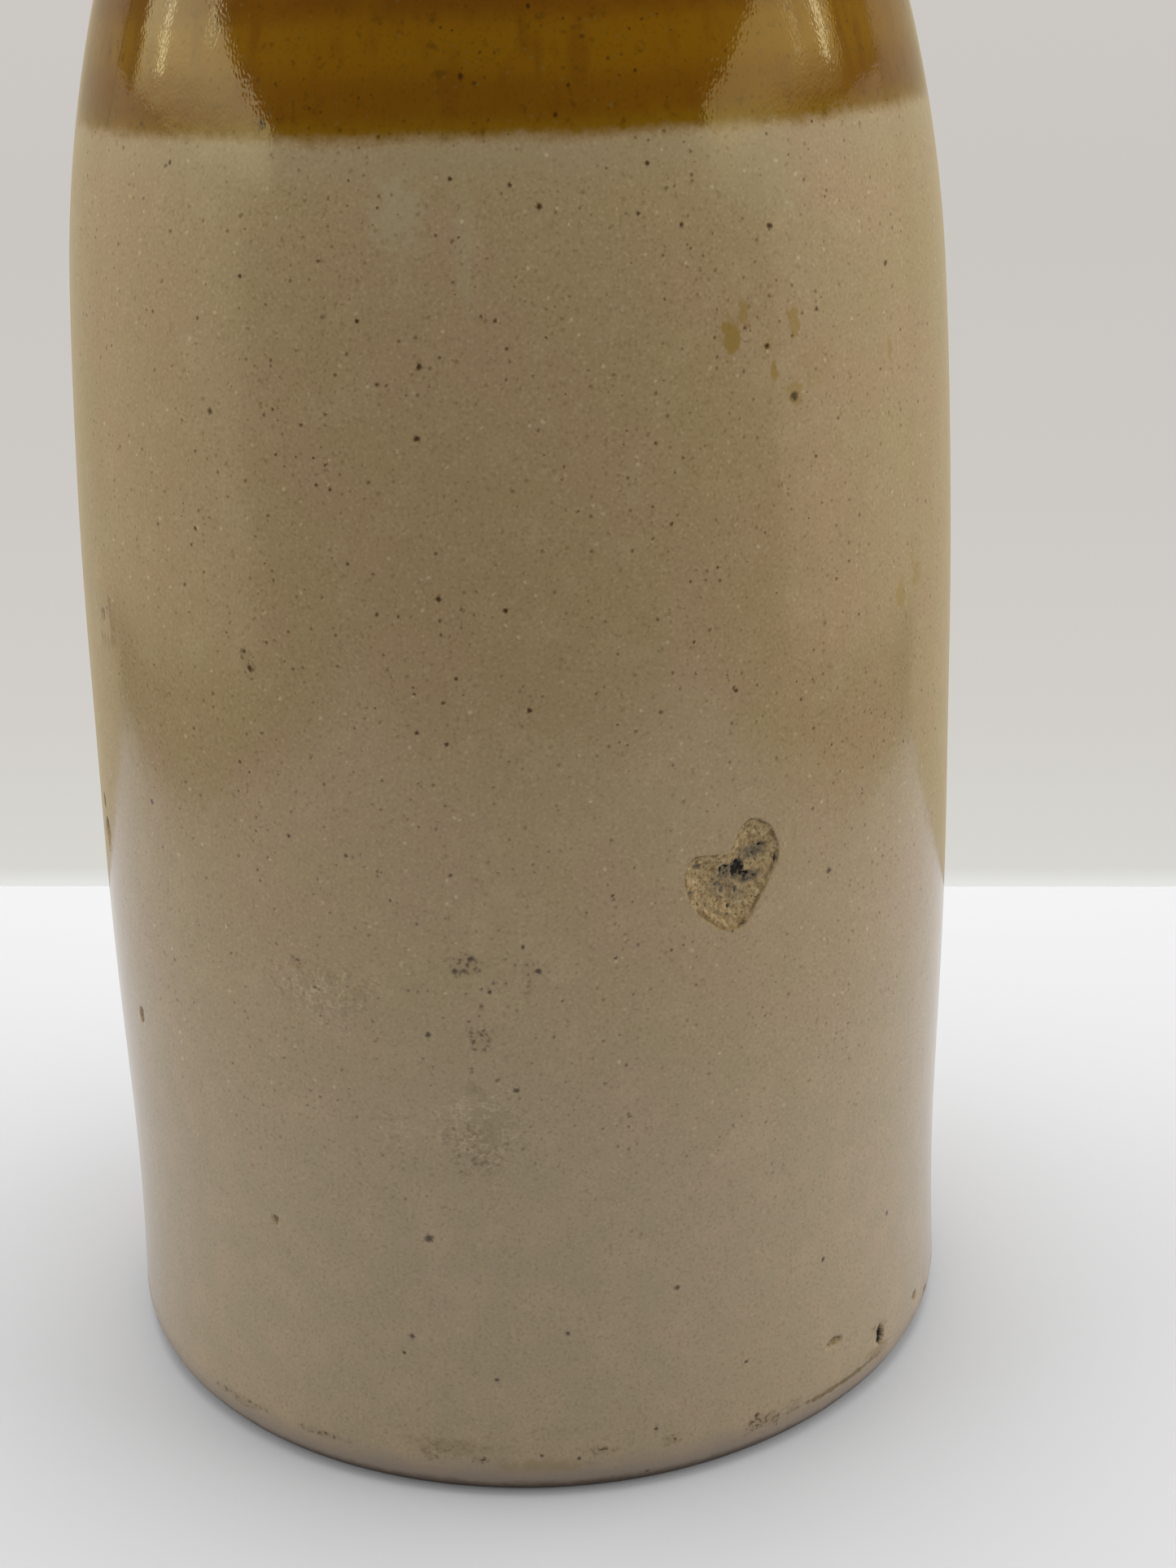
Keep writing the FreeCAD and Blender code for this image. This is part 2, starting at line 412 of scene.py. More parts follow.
# Chip on the front. A knock broke off the glaze and some of the clay in the shape of a leaning heart. The
# right rim is sharp, the left slopes away in low ridges, and a black crack branches across the middle.
chip_degrees = 24.5
chip_height = 58.3
chip_reach = 5.9
chip_cuts = 7
chip_edge = [
    (1.7, 4.5), (2.9, 4.1), (3.8, 3.3), (4.6, 1.0), (3.6, -1.1), (2.6, -2.8), (1.1, -4.8), (-0.1, -5.1),
    (-1.5, -4.6), (-3.3, -2.9), (-4.4, -0.4), (-4.3, 1.0), (-3.5, 2.1), (-1.7, 2.0), (-0.2, 2.2), (0.5, 3.6),
]
chip_glaze_step = 0.16
chip_sharp_rim = 0.2
chip_soft_rim = 1.3
chip_bowl = 0.6
chip_bowl_slope = 1.4
ridge_spacing = 0.75
ridge_height = 0.08

# Roughness of the chip's edge, of its floor and of the dirt's edge: (height, grain size, seed) for each grain
edge_grains = [(0.1, 0.7, 0), (0.05, 0.25, 7)]
floor_grains = [(0.11, 0.55, 3), (0.07, 0.24, 5)]
dirt_grains = [(0.5, 0.5, 9), (0.3, 0.2, 11)]

# Dirt in the chip, from its middle: (along, up, half width, half height, blackness)
dirt_depth = 0.35
chip_dirt = [
    (0.75, 0.1, 0.5, 0.75, 1.0), (0.65, 0.65, 0.22, 0.3, 1.0), (1.35, -0.5, 0.6, 0.13, 1.0),
    (-0.45, 0.62, 0.6, 0.12, 0.85), (-0.95, 0.3, 0.16, 0.35, 0.85), (-0.2, 0.1, 1.0, 0.6, 0.55),
    (1.8, -0.8, 0.9, 0.5, 0.6), (2.2, 1.3, 1.1, 0.6, 0.55), (3.0, 1.75, 0.45, 0.16, 0.8),
    (2.4, 1.1, 0.4, 0.22, 0.7), (-1.35, -0.85, 0.4, 0.14, 0.6), (-0.85, -1.4, 0.14, 0.45, 0.6),
    (0.5, -1.8, 0.2, 0.32, 0.7), (-0.2, -3.05, 0.2, 0.17, 0.85), (-0.4, -3.7, 0.15, 0.15, 0.6),
    (0.95, -4.85, 0.2, 0.16, 0.85), (-3.9, -1.05, 0.25, 0.15, 0.65), (-3.2, 1.1, 0.4, 0.22, 0.5),
    (4.25, 0.3, 0.1, 0.5, 0.8), (-0.6, -1.2, 1.6, 0.9, 0.3), (0.6, -1.9, 0.9, 0.9, 0.3),
]


def wall_radius(height):
    """The outer radius at a height on the straight wall or on the foot's spread."""
    rise = max(0.0, foot_spread_height - height) / spread_rise
    return body_radius + foot_spread * rise ** 2


def from_place(point, degrees, height):
    """How far along the wall and up it a point is from a place on it."""
    turn = math.atan2(point.x, -point.y) - math.radians(degrees)
    return Vector((turn * body_radius, point.z - height))


def refine(shape, degrees, height, reach_along, reach_up, cuts):
    """Divides the wall's faces round a place, brings their corners out to the true wall and returns them."""
    near = []
    for face in shape.faces:
        middle = face.calc_center_median()
        along, up = from_place(middle, degrees, height)
        on_wall = math.hypot(middle.x, middle.y) > body_radius - wall_thickness / 2
        if on_wall and abs(along) < reach_along and abs(up) < reach_up:
            near.append(face)
    edges = list(dict.fromkeys(edge for face in near for edge in face.edges))
    divided = bmesh.ops.subdivide_edges(shape, edges=edges, cuts=cuts, use_grid_fill=True)
    corners = [part for part in divided["geom_inner"] if isinstance(part, bmesh.types.BMVert)]
    corners += [corner for face in near if face.is_valid for corner in face.verts]
    corners = list(dict.fromkeys(corners))
    for corner in corners:
        if corner.co.z > foot_round_height:
            out = wall_radius(corner.co.z) / math.hypot(corner.co.x, corner.co.y)
            corner.co = Vector((corner.co.x * out, corner.co.y * out, corner.co.z))
    return corners


def smooth_loop(points, pieces):
    """A closed curve through the points, as short straight pieces."""
    loop = []
    count = len(points)
    for at in range(count):
        before, start, stop, after = [Vector(points[(at + step) % count]) for step in (-1, 0, 1, 2)]
        handles = start + (stop - before) / 6, stop - (after - start) / 6
        curve = geometry.interpolate_bezier(start, *handles, stop, pieces + 1)
        loop += [Vector(point[:2]) for point in curve[:-1]]
    return loop


def inside_by(place, loop):
    """How far a place is inside a closed loop. It is negative outside."""
    nearest = 1e9
    inside = False
    for start, stop in zip(loop, loop[1:] + loop[:1]):
        side = stop - start
        share = min(1.0, max(0.0, (place - start).dot(side) / side.length_squared))
        nearest = min(nearest, (place - start - side * share).length)
        if (start.y > place.y) != (stop.y > place.y):
            if place.x < start.x + side.x * (place.y - start.y) / side.y:
                inside = not inside
    return nearest if inside else -nearest


def eased(value, low, high):
    """A smooth step from 0 at low to 1 at high."""
    share = min(1.0, max(0.0, (value - low) / (high - low)))
    return share * share * (3 - 2 * share)


def roughness_at(place, grains):
    """The sum of noise in grains, each (height, grain size, seed)."""
    return sum(
        height * noise.noise(Vector((place.x / size, place.y / size, seed))) for height, size, seed in grains
    )


def press_in(corner, depth):
    """Moves a corner of the wall towards the axis."""
    out = 1 - depth / math.hypot(corner.co.x, corner.co.y)
    corner.co = Vector((corner.co.x * out, corner.co.y * out, corner.co.z))


broken_layer = thrown.verts.layers.float.new("broken")
rim_layer = thrown.verts.layers.float.new("rim")
soot_layer = thrown.verts.layers.float.new("soot")
chip_loop = smooth_loop(chip_edge, 5)
for corner in refine(thrown, chip_degrees, chip_height, chip_reach, chip_reach, chip_cuts):
    place = from_place(corner.co, chip_degrees, chip_height)
    depth_in = inside_by(place, chip_loop) + roughness_at(place, edge_grains)
    if depth_in <= 0:
        continue
    softness = eased(1.2 - place.x * 0.9 - abs(place.y) * 0.1, 0, 2)
    rim_width = chip_sharp_rim + (chip_soft_rim - chip_sharp_rim) * softness
    depth = chip_glaze_step * eased(depth_in, 0, rim_width)
    depth += chip_bowl * (1 - math.exp(-depth_in / (chip_bowl_slope + softness)))
    depth += eased(depth_in, 0.1, 0.5) * roughness_at(place, floor_grains)
    ridges = eased(softness, 0.5, 0.9) * eased(-place.y, 0.5, 2.0) * (1 - eased(depth_in, 1.2, 2.0))
    depth += ridges * ridge_height * math.sin(depth_in * 2 * math.pi / ridge_spacing)
    soot = 0.0
    for along, up, half_width, half_height, blackness in chip_dirt:
        spread = math.hypot((place.x - along) / half_width, (place.y - up) / half_height)
        spread += roughness_at(place, dirt_grains)
        soot = max(soot, blackness * (1 - eased(spread, 0.4, 1.8)))
    depth += dirt_depth * soot ** 3
    press_in(corner, depth)
    corner[broken_layer] = eased(depth_in, 0.0, 0.12)
    corner[rim_layer] = 1 - eased(depth_in, 0.1, 0.4)
    corner[soot_layer] = soot


# Small pits, where knocks flaked the glaze off: four on the left edge, one low on the front left, and five in
# a row above the foot on the right. Each is (degrees, height, width, how tall, depth, blackness of its dirt).
pits = [
    (-71.3, 54.6, 2.0, 3.6, 0.7, 0.7),
    (-72.4, 57.1, 0.9, 1.3, 0.4, 0.6),
    (-62.2, 38.4, 0.9, 1.7, 0.4, 0.4),
    (-35.4, 24.7, 1.0, 1.3, 0.15, 0.3),
    (-63.6, 76.5, 0.9, 1.4, 0.25, 0.4),
    (41.5, 8.0, 2.4, 0.9, 0.35, 0.25),
    (45.7, 7.3, 0.9, 0.8, 0.25, 0.3),
    (51.8, 5.0, 1.5, 2.6, 0.5, 1.0),
    (63.5, 4.6, 1.3, 1.4, 0.4, 0.8),
    (69.4, 2.6, 1.4, 1.0, 0.4, 0.8),
]
pit_cuts = 4
pit_margin = 1.2
for degrees, height, width, tall, depth, soot in pits:
    for corner in refine(thrown, degrees, height, width / 2 + pit_margin, tall / 2 + pit_margin, pit_cuts):
        place = from_place(corner.co, degrees, height)
        spread = math.hypot(place.x / width, place.y / tall) * 2
        spread += roughness_at(place, [(0.35, 0.8, degrees), (0.15, 0.35, degrees)])
        inside = 1 - eased(spread, 0.55, 1.05)
        if inside > 0:
            press_in(corner, depth * (inside + roughness_at(place, [(0.25, 0.4, height)])))
            corner[broken_layer] = eased(inside, 0.25, 0.5)
            corner[soot_layer] = soot * inside


# Wheel marks. The wall swells a little, two thirds of the way up to the shoulder, and wavers from the
# potter's hands. The foot's edge is worn uneven.
swell = 0.45
swell_height = 45.0
swell_reach = 22.0
waver = 0.06
waver_width = 22.0
worn_edge = 0.1
worn_width = 3.0
standing_height = 0.01
for corner in thrown.verts:
    reach = math.hypot(corner.co.x, corner.co.y)
    is_outside = reach > inner_radius + 0.5
    if is_outside or corner.co.z > straight_top:
        swelling = swell * math.exp(-((corner.co.z - swell_height) / swell_reach) ** 2)
        press_in(corner, waver * noise.noise(corner.co / waver_width) - swelling)
    if foot_round_height > corner.co.z > standing_height and reach > ring_outer - 0.1:
        press_in(corner, worn_edge * max(0.0, noise.noise(corner.co / worn_width)))

bmesh.ops.scale(thrown, vec=(MM, MM, MM), verts=thrown.verts[:])
for face in thrown.faces:
    face.smooth = True
bottle_mesh = bpy.data.meshes.new("stout_bottle")
thrown.to_mesh(bottle_mesh)
print("bottle triangles", sum(len(face.verts) - 2 for face in thrown.faces))
thrown.free()
bottle = bpy.data.objects.new("stout_bottle", bottle_mesh)
bpy.context.scene.collection.objects.link(bottle)


# Glaze. The whole bottle has a clear, glassy cream glaze full of iron specks from the clay. The shoulder
# was then dipped in an ochre glaze, which ends in a soft, slightly slanting line round the body.
cream_pink = "7d694d"
cream_green = "7b6a4b"
cream_low_green = "7d6f56"
cream_low_pink = "817059"
grain_pale = "897a5c"
grain_dark = "6a5a3f"
bloom_green = "80785b"
bead_grey = "7d7055"
ochre = "573600"
ochre_bright = "5f3f00"
ochre_red = "502e00"
ochre_thin = "5d4202"
ochre_pooled = "3a2400"
iron_black = "2c1600"
# The dark speck colour also paints shade along the foot's bottom edge.
speck_and_contact_shade_dark = "341e00"
speck_brown = "58461e"
stain_ochre = "705a28"
foot_pink = "73665a"
smear_tan = "6b5a34"
pinhole_glint = "b9ab8c"
scratch_pale = "a99b7e"
scuff_green = "6b6145"
cream_roughness = 0.17
ochre_roughness = 0.07
glaze_ior = 1.5


def new_finish(name):
    """An empty material for the bottle, its node tree, its output and each point's place in millimetres."""
    finish, tree, output = new_material(name)
    point = add_node(tree, "ShaderNodeTexCoord").outputs["Object"]
    place = add_node(tree, "ShaderNodeVectorMath", {0: point, "Scale": 1 / MM}, operation="SCALE")
    return finish, tree, output, place


def give_finish(finish, colour, roughness, ior, relief):
    """Gives the bottle a finish with a colour, a roughness and a relief in millimetres."""
    bump = add_node(tree, "ShaderNodeBump", {"Height": relief, "Distance": MM})
    surface = add_node(tree, "ShaderNodeBsdfPrincipled", {
        "Base Color": colour, "Roughness": roughness, "IOR": ior, "Normal": bump,
    })
    tree.links.new(surface.outputs["BSDF"], output.inputs["Surface"])
    bottle_mesh.materials.append(finish)


def strength(*limits):
    """How strongly a mark shows: the product of its limits.

    A limit is a share, another mark's strength, or (pattern, where it starts, where it is full), which
    goes from 0 to 1 unless two shares follow.
    """
    shares = []
    for limit in limits:
        if isinstance(limit, tuple):
            pattern, start, full, *ends = limit
            weakest, strongest = ends or (0.0, 1.0)
            limit = add_node(tree, "ShaderNodeMapRange", {
                "Value": pattern, "From Min": start, "From Max": full, "To Min": weakest, "To Max": strongest,
            }, interpolation_type="SMOOTHSTEP")
        shares.append(limit)
    product = shares[0]
    for share in shares[1:]:
        product = add_node(tree, "ShaderNodeMath", {0: product, 1: share}, operation="MULTIPLY")
    return product


def strongest_of(*marks):
    """The strongest of several marks at each point."""
    strongest = marks[0]
    for mark in marks[1:]:
        strongest = add_node(tree, "ShaderNodeMath", {0: strongest, 1: mark}, operation="MAXIMUM")
    return strongest


def lay_over(colour, *layers):
    """Lays colours over another in turn. A layer is a colour and the limits of its strength."""
    for layer_colour, *limits in layers:
        colour = add_node(tree, "ShaderNodeMix", {
            0: strength(*limits), 6: colour, 7: layer_colour,
        }, data_type="RGBA")
    return colour


def swayed(value, *patterns):
    """A value with patterns added to it, each (pattern, how much of it)."""
    for pattern, amount in patterns:
        value = add_node(tree, "ShaderNodeMath", {0: pattern, 1: amount, 2: value}, operation="MULTIPLY_ADD")
    return value


def mottle(size, detail=1.0, stretch=(1, 1, 1), seed=0.0):
    """Cloudy noise with patches of a size in millimetres, stretched along an axis if asked."""
    point = add_node(tree, "ShaderNodeVectorMath", {
        0: place, 1: [1 / (size * share) for share in stretch], 2: (seed,) * 3,
    }, operation="MULTIPLY_ADD")
    return add_node(tree, "ShaderNodeTexNoise", {"Vector": point, "Scale": 1.0, "Detail": detail})


def grains(spacing, radius, seed=0.0, warp=None):
    """Grains scattered through the clay in uneven sizes, and an even draw from 0 to 1 for each of them."""
    point = add_node(tree, "ShaderNodeVectorMath", {
        0: place, 1: (1 / spacing,) * 3, 2: (seed,) * 3,
    }, operation="MULTIPLY_ADD")
    if warp:
        push = 1.6 * radius / spacing
        point = add_node(tree, "ShaderNodeVectorMath", {
            0: warp, 1: (push, -0.7 * push, 0.8 * push), 2: point,
        }, operation="MULTIPLY_ADD")
    cells = add_node(tree, "ShaderNodeTexVoronoi", {"Vector": point, "Scale": 1.0}).outputs
    draws = add_node(tree, "ShaderNodeSeparateColor", {0: cells["Color"]}).outputs
    size = swayed(0.45 * radius / spacing, (draws["Red"], 0.9 * radius / spacing))
    spread = add_node(tree, "ShaderNodeMath", {0: cells["Distance"], 1: size}, operation="DIVIDE")
    return strength((spread, 1.0, 0.1)), draws["Green"]


glaze, tree, output, place = new_finish("two_tone_glaze")
parts = add_node(tree, "ShaderNodeSeparateXYZ", {0: place}).outputs
up = parts["Z"]
front = add_node(tree, "ShaderNodeMath", {0: parts["Y"], 1: -1.0}, operation="MULTIPLY")
turn = add_node(tree, "ShaderNodeMath", {0: parts["X"], 1: front}, operation="ARCTAN2")
around = add_node(tree, "ShaderNodeMath", {0: turn, 1: body_radius}, operation="MULTIPLY")
wall_place = add_node(tree, "ShaderNodeCombineXYZ", {0: around, 1: up})
clay_grain = mottle(0.28, seed=1.0)
ragged_edge = mottle(0.9, 2, seed=40.0)
clouds = mottle(9.0, 2)
patchy = mottle(3.5, seed=3.0)
patch_reach = 2.2
patch_raggedness = 2.4


def patches(places, softness=0.7):
    """The strength of a list of ragged patches: (degrees, height, half width, half height, strength)."""
    outer = swayed(patch_reach + softness / 2, (ragged_edge, -patch_raggedness))
    inner = swayed(patch_reach - softness / 2, (ragged_edge, -patch_raggedness))
    patch_strengths = []
    for degrees, height, half_width, half_height, share in places:
        along = math.radians(degrees) * body_radius
        offset = add_node(tree, "ShaderNodeVectorMath", {
            0: wall_place,
            1: (1 / half_width, 1 / half_height, 0),
            2: (-along / half_width, -height / half_height, 0),
        }, operation="MULTIPLY_ADD")
        spread = add_node(tree, "ShaderNodeVectorMath", {0: offset}, operation="LENGTH")
        patch_strengths.append(strength((spread, outer, inner, 0.0, share)))
    return strongest_of(*patch_strengths)


def line_where(pattern, level, edge, full):
    """A thin line where a pattern passes a level, from its soft edge to where it is full."""
    offset = swayed(-level, (pattern, 1.0))
    distance = add_node(tree, "ShaderNodeMath", {0: offset}, operation="ABSOLUTE")
    return strength((distance, edge, full))


# The dip line: a height above it, wavering over a few millimetres and ragged at the edge
dip_height = 117.0
dip_slant = (0.0098, -0.0092, 0)
dip_waver = 1.2
dip_raggedness = 0.9
dip_softness = 0.7
slant = add_node(tree, "ShaderNodeVectorMath", {0: place, 1: dip_slant}, operation="DOT_PRODUCT")
above_dip = swayed(
    -dip_height - dip_waver / 2 - dip_raggedness / 2,
    (up, 1.0), (slant, -1.0), (clouds, dip_waver), (ragged_edge, dip_raggedness),
)
dipped = strength((above_dip, -dip_softness, dip_softness))

# Cream: faint pink and green clouds, greyer towards the foot, a paler bead just under the dip line
low_cream = lay_over(cream_low_green, (cream_low_pink, (patchy, 0.3, 0.7)))
blooms = [(-12.5, 111.8, 2.0, 2.4, 0.5), (-5.0, 110.0, 0.7, 4.5, 0.25), (30.0, 113.5, 4.0, 2.0, 0.25)]
colour = lay_over(
    cream_green,
    (cream_pink, (clouds, 0.36, 0.66)),
    (low_cream, (up, 62.0, 22.0)),
    (grain_pale, (patchy, 0.5, 0.8, 0, 0.25)),
    (grain_pale, (clay_grain, 0.52, 0.78, 0, 0.6)),
    (grain_dark, (clay_grain, 0.46, 0.24, 0, 0.6)),
    (bead_grey, (above_dip, -4.5, -1.4), (above_dip, -0.2, -1.0), 0.35),
    (bloom_green, patches(blooms, softness=1.0)),
)

# Ochre: brighter in a band above the line, redder higher up, thin and olive just over the line
streaks = mottle(1.8, stretch=(1, 1, 5), seed=5.0)
dip_colour = lay_over(
    ochre,
    (ochre_bright, (above_dip, 3.2, 5.6), (above_dip, 9.5, 7.0)),
    (ochre_red, (above_dip, 7.5, 10.0, 0, 0.8)),
    (ochre_bright, (patchy, 0.5, 0.75, 0, 0.3)),
    (ochre_red, (streaks, 0.5, 0.3, 0, 0.5)),
    (ochre_thin, (above_dip, 2.0, 0.2)),
    (ochre_pooled, (clay_grain, 0.45, 0.2, 0, 0.3)),
    (ochre_pooled, (ragged_edge, 0.58, 0.78, 0, 0.5)),
)
colour = lay_over(colour, (dip_colour, dipped))

# Ochre stains where drops of the dip ran over the cream
stains = [
    (25.4, 102.2, 0.9, 1.3, 0.9), (27.2, 103.8, 0.45, 1.2, 0.6), (34.3, 102.6, 0.55, 1.1, 0.75),
    (31.2, 99.0, 0.4, 0.9, 0.8), (51.6, 98.8, 0.35, 0.9, 0.55), (37.5, 99.0, 2.0, 1.6, 0.2),
    (30.4, 101.0, 0.5, 0.5, 0.5), (34.0, 97.0, 0.9, 0.9, 0.6), (53.4, 78.0, 0.8, 1.1, 0.55),
    (58.0, 78.8, 0.8, 0.9, 0.4), (56.5, 81.0, 0.4, 1.4, 0.25),
]
colour = lay_over(colour, (stain_ochre, patches(stains)))

# The foot's rounded edge: a dull pinkish band that fades upwards, with a faint smear of ochre on it
foot_band = strength((swayed(up, (patchy, 2.0)), 5.6, 2.4))
smear = patches([(-0.9, 3.3, 3.4, 0.6, 0.5)], softness=1.4)
colour = lay_over(colour, (foot_pink, foot_band, 0.8), (smear_tan, smear))

# Places where the iron specks crowd together, most of them in a row along the foot
crowds = [
    (-7.8, 52.4, 1.9, 0.8, 0.9), (-6.2, 45.6, 0.8, 1.1, 0.8), (-0.3, 51.6, 0.6, 1.4, 0.6),
    (-28.8, 51.0, 0.7, 0.5, 0.8), (-7.5, 35.5, 2.5, 2.2, 0.5), (-33.4, 76.8, 0.7, 1.1, 0.7),
    (-44.0, 3.6, 3.4, 0.42, 0.9), (-30.5, 3.7, 2.4, 0.36, 0.9), (-14.6, 3.8, 0.7, 0.32, 1.0),
    (-12.5, 5.0, 3.6, 0.7, 0.4), (-8.3, 3.9, 0.8, 0.4, 1.0), (7.0, 4.5, 1.2, 0.5, 1.0),
    (15.8, 4.6, 0.8, 0.5, 1.0), (29.2, 3.3, 2.2, 0.8, 1.0), (33.9, 3.7, 0.8, 0.5, 0.6),
    (51.7, 5.6, 1.2, 1.0, 0.5), (43.4, 3.2, 5.6, 0.24, 1.0),
]
crowded = patches(crowds)

# Iron specks: many faint ones, fewer dark ones, and some pale grains painted as glints where pinholes catch
# the light. Few show near the foot.
above_foot = strength((up, 12.0, 48.0, 0.12, 1.0))
thickness = strength((clouds, 0.3, 0.7, 0.6, 1.2), above_foot)
small_grains, small_draw = grains(0.8, 0.22, warp=clay_grain)
dark_grains, dark_draw = grains(1.0, 0.205, seed=20.0, warp=clay_grain)
faint_specks = strength(small_grains, (small_draw, 0.9, 0.63))
dark_specks = strength(dark_grains, (dark_draw, 1.0, 0.7), thickness, 0.8)
clumps = strength((mottle(0.4, 2, seed=50.0), 0.5, 0.68))
crowd_specks = strength(strongest_of(faint_specks, clumps), crowded, 0.9)
is_pinhole_glint = add_node(tree, "ShaderNodeMath", {0: small_draw, 1: 0.86}, operation="GREATER_THAN")
colour = lay_over(
    colour,
    (speck_brown, crowded, 0.2),
    (speck_brown, faint_specks, thickness, 0.5),
    (speck_and_contact_shade_dark, strongest_of(dark_specks, crowd_specks)),
    # Painted glints at pinholes, on the cream below the dip line
    (pinhole_glint, small_grains, is_pinhole_glint, (above_dip, 0.0, -1.0, 0, 0.3), above_foot),
)

# Larger iron spots by place: for each size in millimetres, (degrees round the axis from the front, height)
iron_spots = {
    0.4: [
        (37.9, 103.2), (19.9, 110.6), (-6.4, 114.5), (0.3, 114.0), (16.3, 115.1), (14.8, 111.6),
        (-44.2, 115.1), (-32.4, 107.2), (-17.4, 104.3), (-33.8, 77.6), (-12.2, 72.3), (-8.8, 71.4),
        (-29.0, 62.3), (-21.5, 61.3), (25.1, 74.0), (0.6, 74.2), (5.8, 118.8), (3.2, 126.3),
        (-40.5, 87.0), (-1.0, 54.0), (-5.0, 50.0), (-1.7, 82.3), (-17.8, 14.2), (-6.0, 12.2),
        (26.6, 10.3), (3.0, 16.8), (13.9, 5.9), (-0.7, 4.4), (3.9, 3.9), (12.7, 1.4),
    ],
    0.55: [
        (31.5, 109.9), (51.5, 105.6), (3.5, 112.4), (-10.4, 101.0), (-10.9, 95.6), (-37.3, 96.6),
        (-33.1, 76.2), (-9.1, 83.2), (-53.0, 61.4), (-12.5, 45.9), (53.7, 17.6), (39.4, 17.5),
        (17.0, 19.9), (38.9, 56.0), (-2.3, 40.9), (-5.0, 121.6), (30.3, 101.0), (-7.0, 53.0),
        (-9.0, 51.8), (0.7, 51.8), (28.1, 4.3), (-16.6, 16.0),
    ],
    0.8: [(-13.7, 26.2), (-29.8, 118.2), (34.0, 96.8)],
}
far_off = 100.0
spots = []
for across, spot_places in iron_spots.items():
    nearest = far_off
    for degrees, height in spot_places:
        spot_place = (math.radians(degrees) * body_radius, height, 0)
        spread = add_node(tree, "ShaderNodeVectorMath", {0: wall_place, 1: spot_place}, operation="DISTANCE")
        nearest = add_node(tree, "ShaderNodeMath", {0: nearest, 1: spread}, operation="MINIMUM")
    nearest = swayed(nearest, (clay_grain, 0.5 * across))
    spots.append(strength((nearest, across * 0.95, across * 0.4)))
colour = lay_over(colour, (iron_black, strongest_of(*spots), 0.9))

# Scuffs, where short scratches cross a dulled patch
scuffs = patches([
    (-25.5, 48.6, 3.6, 2.0, 1.0), (-7.0, 37.6, 3.2, 3.0, 1.0), (-7.0, 35.0, 2.4, 1.4, 1.0),
    (-16.5, 36.5, 2.4, 2.4, 0.5),
], softness=1.2)
rubbing = mottle(1.1, stretch=(1, 1, 0.7), seed=44.0)
scratches = line_where(rubbing, 0.47, 0.045, 0.0)
colour = lay_over(
    colour,
    (scuff_green, scuffs, (rubbing, 0.5, 0.66, 0.05, 0.4)),
    (scratch_pale, scratches, scuffs, 0.3),
)

# Brown grime along the foot, and a dark band on its bottom edge, partly dirt and partly painted shade where
# the foot meets the floor
grime = patches([
    (-11.5, 5.0, 4.0, 0.9, 0.2), (51.0, 3.6, 2.0, 0.5, 0.4), (43.4, 3.2, 5.6, 0.2, 0.8),
], softness=1.0)
dirt_and_contact_shade = strength((swayed(up, (ragged_edge, 1.0)), 2.3, 1.0))
colour = lay_over(colour, (speck_brown, grime), (speck_and_contact_shade_dark, dirt_and_contact_shade, 0.8))

# A hairline crack in the ochre on the left of the shoulder. It leans, and ends at the dip line.
crack_lean = -0.21
crack_degrees = -58.4
crack_middle = 122.0
crack_bottom = 116.5
crack_raggedness = 0.5
crack_place = body_radius * math.radians(crack_degrees) + crack_lean * crack_middle + crack_raggedness / 2
across_crack = swayed(around, (ragged_edge, crack_raggedness), (up, crack_lean))
crack = line_where(across_crack, crack_place, 0.1, 0.04)
colour = lay_over(colour, (ochre_pooled, crack, (up, crack_bottom, crack_bottom + 1.0), 0.8))

# Relief: orange peel nearly two millimetres across, with a fine ripple in it, and rubbed places
peel_height = 0.018
rub_height = 0.16
ripple_height = 0.003
relief = swayed(
    strength(mottle(1.8, seed=30.0), peel_height),
    (strength(rubbing, scuffs), rub_height),
    (mottle(0.2, 0.0, stretch=(1, 1, 1.6), seed=31.0), swayed(ripple_height, (dipped, ripple_height))),
)
roughness = add_node(tree, "ShaderNodeMix", {0: dipped, 2: cream_roughness, 3: ochre_roughness})
roughness = swayed(roughness, (foot_band, 0.28), (scuffs, 0.12))
give_finish(glaze, colour, roughness, glaze_ior, relief)


# Broken stoneware in the chip and the pits. The bare clay is tan, coarse and dull, with brown grit all
# through it, and dirt has gathered black in the cracks.
clay_tan = "84714f"
clay_pale = "968461"
clay_brown = "6f5a3a"
clay_grit = "48371f"
rim_stain_and_shade = "5e4728"
dirt_grey = "4c4437"
dirt_black = "1a150e"
clay_ior = 1.45
broken_roughness = 0.85
crumb_size = 0.3
crumb_height = 0.14

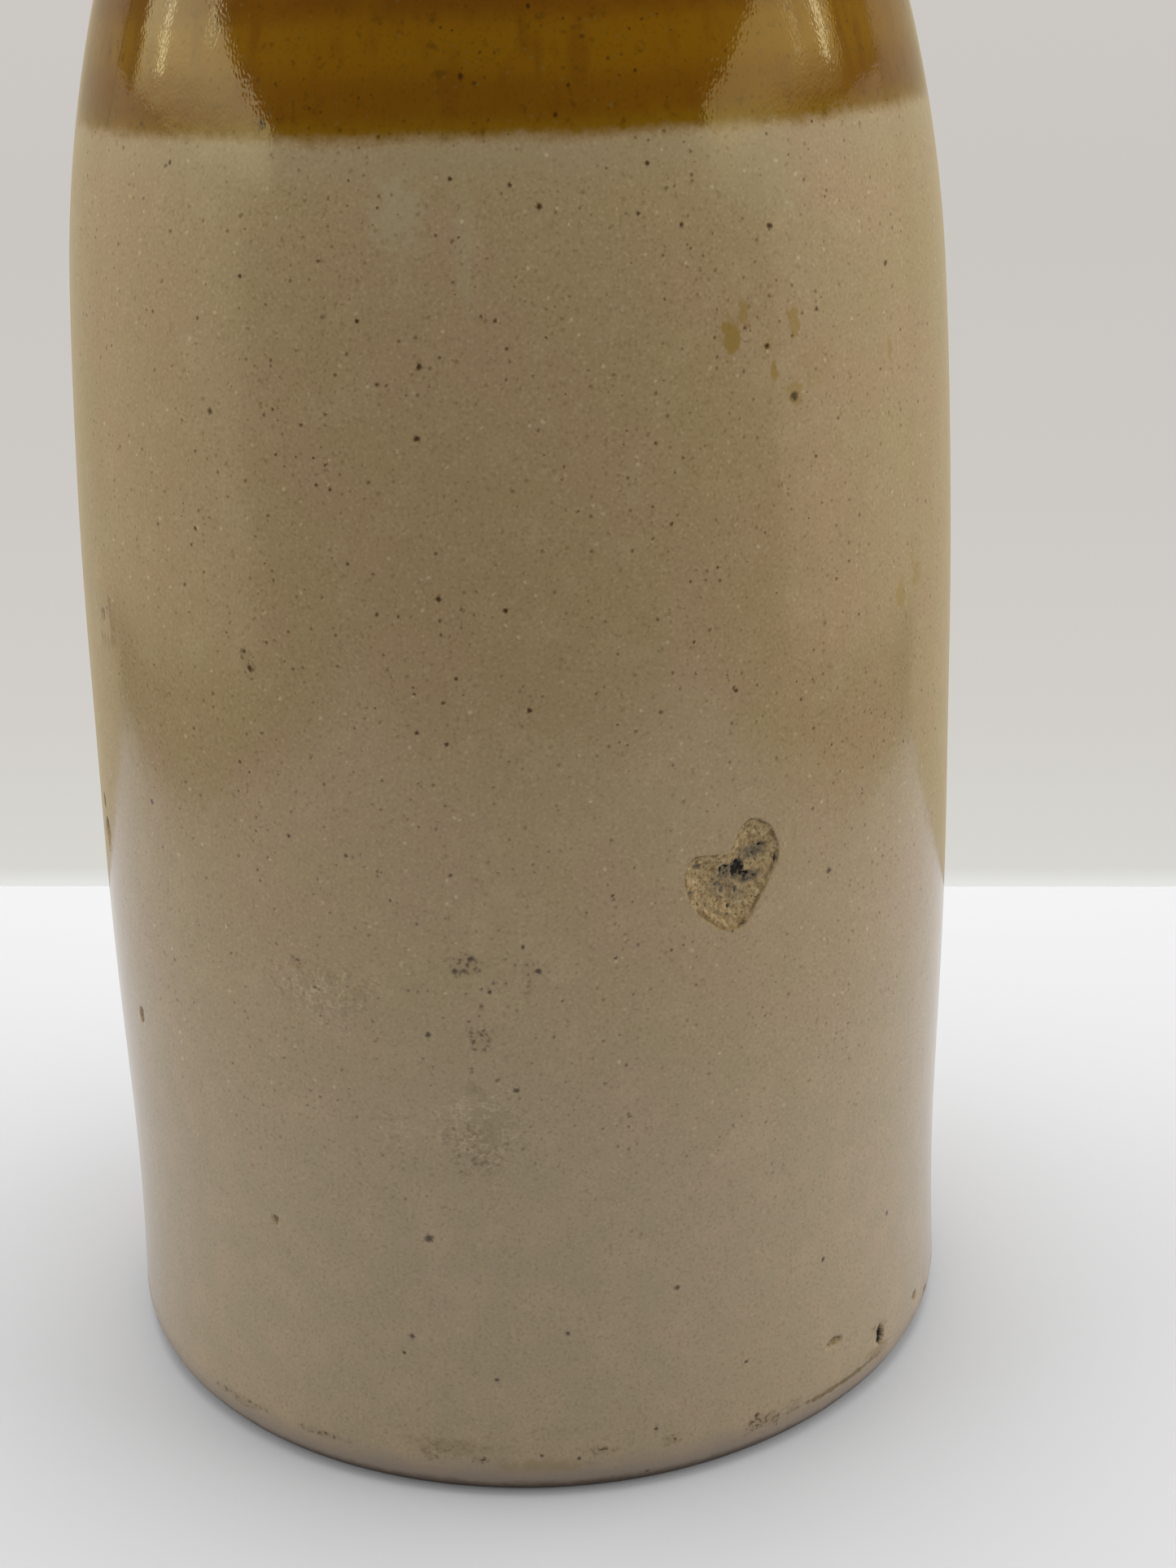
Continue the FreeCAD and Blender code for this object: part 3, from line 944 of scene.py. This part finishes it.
broken, tree, output, place = new_finish("broken_stoneware")
soot = add_node(tree, "ShaderNodeAttribute", attribute_name="soot").outputs["Fac"]
rim = add_node(tree, "ShaderNodeAttribute", attribute_name="rim").outputs["Fac"]
crumbly = mottle(0.8, 3, seed=2.0)
sooty = swayed(-2.4, (soot, 1.9), (mottle(0.3, 3, seed=6.0), 3.0))
clay = lay_over(
    clay_tan,
    (clay_pale, (crumbly, 0.48, 0.7)),
    (clay_brown, (mottle(0.45, 3, seed=5.0), 0.45, 0.62, 0, 0.9)),
    (clay_grit, (mottle(0.22, 2, seed=3.0), 0.58, 0.7, 0, 0.9)),
    # A brown line just inside the chip's rim, partly a stain and partly painted shade along the broken edge
    (rim_stain_and_shade, rim, (crumbly, 0.62, 0.42, 0.1, 0.85)),
    (dirt_grey, (soot, 0.0, 0.6, 0, 0.8)),
    (dirt_black, (sooty, 0.1, 0.75), (soot, 0.2, 0.45)),
)
crumbs = strength(mottle(crumb_size, 3, seed=7.0), crumb_height)
give_finish(broken, clay, broken_roughness, clay_ior, crumbs)


# Bare foot. The glaze was wiped off the ring and the underside before firing, so the bottle would not stick
# to the kiln shelf. The clay there is pale, dry and gritty.
foot_clay = "8c7c63"
foot_clay_dark = "7d6d54"
bare_roughness = 0.8
bare_grain_size = 0.4
bare_grain_height = 0.06

bare, tree, output, place = new_finish("bare_stoneware")
foot_grit, foot_draw = grains(0.9, 0.22, seed=8.0)
clay = lay_over(
    foot_clay,
    (foot_clay_dark, (mottle(4.0, 3, seed=2.0), 0.4, 0.7)),
    (clay_grit, foot_grit, (foot_draw, 0.8, 0.56), 0.7),
)
crumbs = strength(mottle(bare_grain_size, 3, seed=7.0), bare_grain_height)
give_finish(bare, clay, bare_roughness, clay_ior, crumbs)

# Which faces have which finish: broken where most of a face is in the chip or a pit, bare on the underside
broken_at = bottle_mesh.attributes["broken"].data
underside_top = (underside_hollow + 0.05) * MM
for face in bottle_mesh.polygons:
    if sum(broken_at[corner].value for corner in face.vertices) > 0.5 * len(face.vertices):
        face.material_index = 1
    elif face.center.z < underside_top and face.normal.z < -0.9:
        face.material_index = 2

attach(bottle, "root")
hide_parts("bottle")
